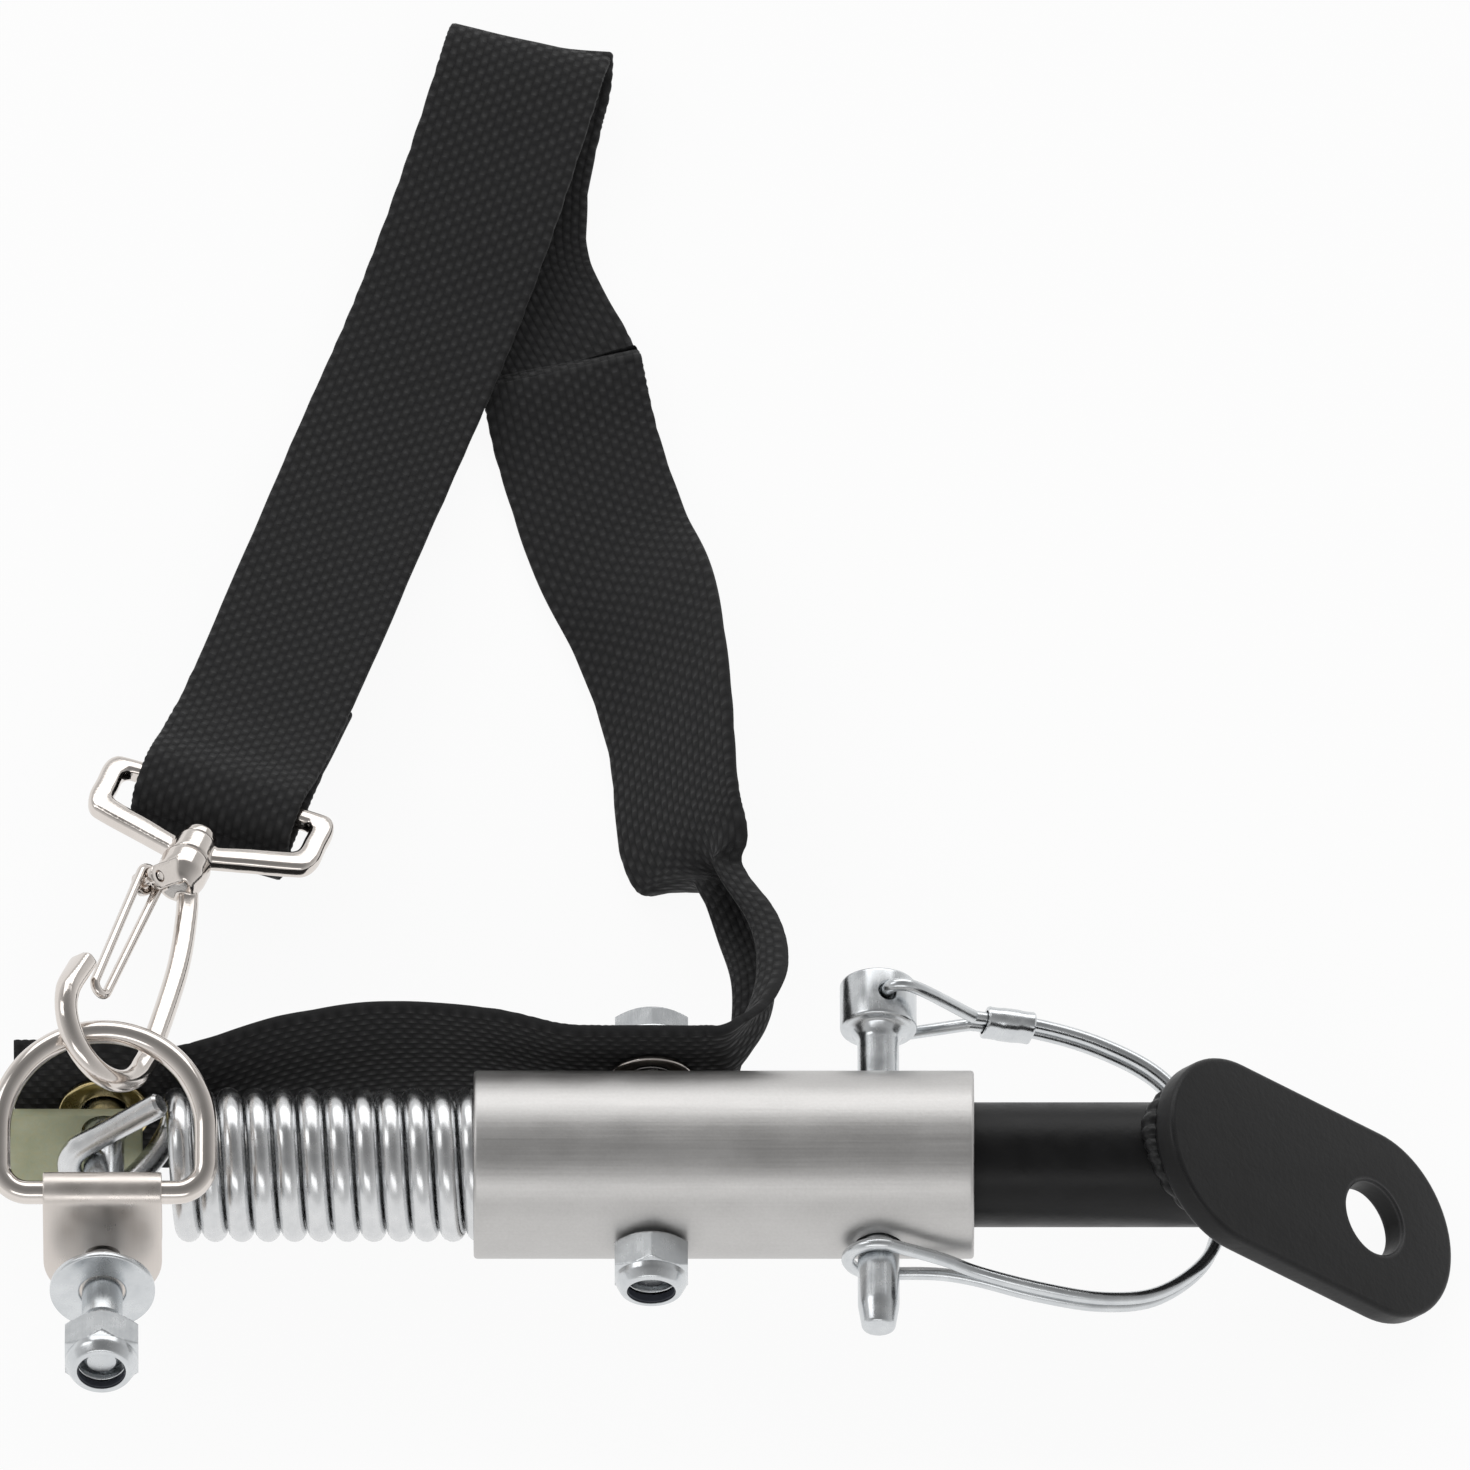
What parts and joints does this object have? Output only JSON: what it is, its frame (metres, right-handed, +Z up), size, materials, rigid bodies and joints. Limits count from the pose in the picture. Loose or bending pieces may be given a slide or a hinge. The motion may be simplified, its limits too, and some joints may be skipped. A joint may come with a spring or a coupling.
{
  "type": "bicycle trailer coupler",
  "caption": "Bicycle-trailer coupler: coil spring in an aluminium sleeve, hitch tube with plate, wire lock pin and webbing safety strap with a swivel snap hook on a D-ring.",
  "frame": {"origin": "centre of the bounding box's bottom, on the table the coupler lies on", "axes": "+X along the sleeve from the tow bolt to the hitch plate, level with the table; +Y along the lock pin from its tip to its head; +Z up from the table"},
  "size_m": [0.2254, 0.2538, 0.0447],
  "materials": {
    "aluminium": "satin, brushed along",
    "zinc": "bright zinc plate",
    "nickel": "bright warm nickel plate",
    "yellow_zinc": "yellow zinc plate",
    "black_paint": "semi-gloss powder coat",
    "nylon": "dark nylon",
    "webbing": "woven polypropylene",
    "olive": "matt"
  },
  "bodies": {
    "coupler": {"sleeve": "aluminium", "hitch_tube": "black_paint", "hitch_plate": "black_paint", "weld_bead": "black_paint", "sleeve_bolt": "zinc", "sleeve_nut": "zinc", "sleeve_nut_ring": "nylon", "sleeve_back_washer": "zinc", "sleeve_strap_eyelet": "nickel", "safety_strap": "webbing", "spring": "zinc"},
    "lock_pin": {"lock_pin": "zinc", "lock_wire": "zinc", "wire_ferrule": "zinc"},
    "tow_end": {"tow_bolt": "zinc", "tow_nut": "zinc", "tow_nut_ring": "nylon", "tow_front_washer": "zinc", "tow_back_washer": "zinc", "tow_strap_eyelet": "yellow_zinc", "olive_tab": "olive", "ring_clip": "nickel", "strap_frame": "nickel"},
    "d_ring": {"d_ring": "nickel"},
    "snap_hook": {"hook_body": "nickel", "swivel_rivet": "nickel", "gate_pin": "nickel"},
    "snap_gate": {"snap_gate": "nickel"}
  },
  "joints": [
    {"name": "spring_flex", "type": "hinge", "parent": "coupler", "child": "tow_end", "pos_m": [-0.0534, -0.08324, 0.01872], "axis": [0, 1, 0], "range_deg": [-30, 30], "stiffness_Nm_per_rad": 2, "deforming": ["spring", "safety_strap"]},
    {"name": "lock_bow_swing", "type": "hinge", "parent": "coupler", "child": "lock_pin", "pos_m": [0.02348, -0.08324, 0.02455], "axis": [0, 1, 0], "range_deg": [0, 100]},
    {"name": "ring_tilt", "type": "hinge", "parent": "tow_end", "child": "d_ring", "pos_m": [-0.09509, -0.09709, 0.03154], "axis": [0.9971, 0, 0.0756], "range_deg": [0, 4]},
    {"name": "hook_swivel", "type": "hinge", "parent": "tow_end", "child": "snap_hook", "pos_m": [-0.08226, -0.03574, 0.02506], "axis": [0.3251, 0.8974, -0.2985], "range_deg": [-5, 20]},
    {"name": "gate_open", "type": "hinge", "parent": "snap_hook", "child": "snap_gate", "pos_m": [-0.08816, -0.04178, 0.03061], "axis": [0.6901, -0.0093, 0.7236], "range_deg": [0, 18], "stiffness_Nm_per_rad": 0.05, "springref_deg": -5.73}
  ]
}
